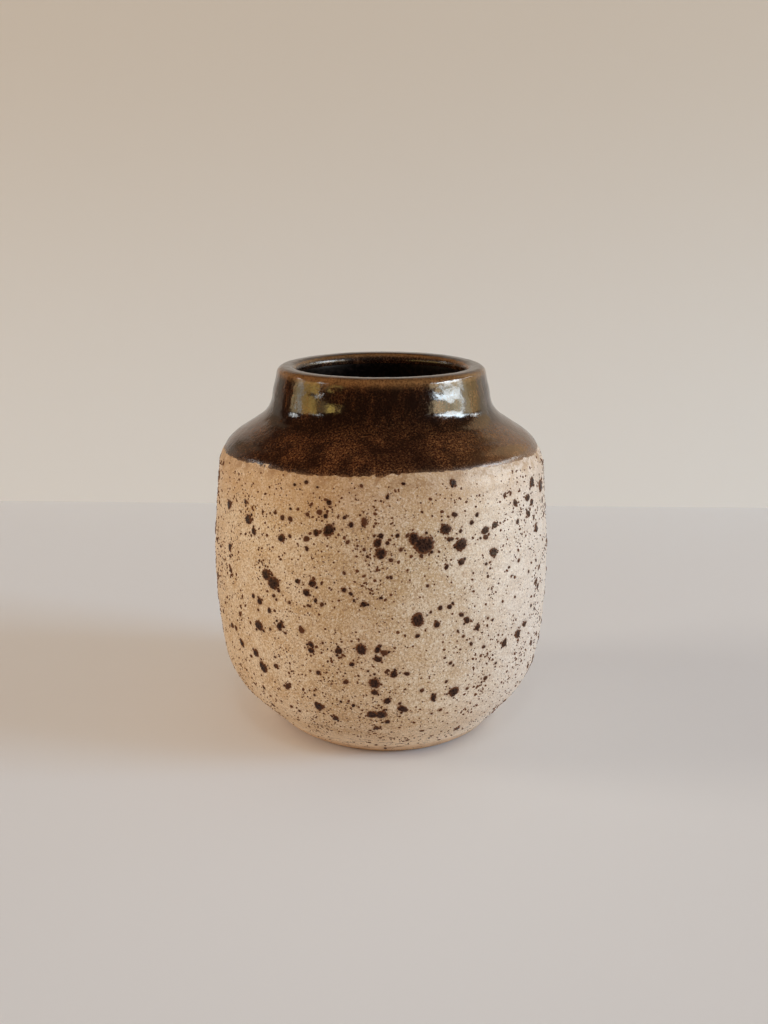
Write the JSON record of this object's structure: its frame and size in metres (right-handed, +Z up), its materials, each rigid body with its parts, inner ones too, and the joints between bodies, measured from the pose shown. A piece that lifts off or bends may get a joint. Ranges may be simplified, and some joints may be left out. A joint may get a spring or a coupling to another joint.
{
  "type": "ceramic bud vase",
  "caption": "Small barrel-shaped stoneware vase with a wide short neck, glazed shoulder and speckled matt belly.",
  "frame": {"origin": "centre of the foot, on the surface that the vase stands on", "axes": "+Z up along the axis of the vase and out of its mouth, -Y towards the front"},
  "size_m": [0.1108, 0.1107, 0.12],
  "materials": {
    "bare_clay": "bare fired stoneware, matt",
    "sandy_coat": "matt, sandy, dry to the touch",
    "brown_glaze": "gloss, finely mottled",
    "liner_glaze": "gloss",
    "iron_bead": "semi-gloss"
  },
  "bodies": {
    "root": {"clay_body": "bare_clay", "belly_coat": "sandy_coat", "shoulder_glaze": "brown_glaze", "inner_glaze": "liner_glaze", "iron_spots": "iron_bead"}
  },
  "joints": []
}
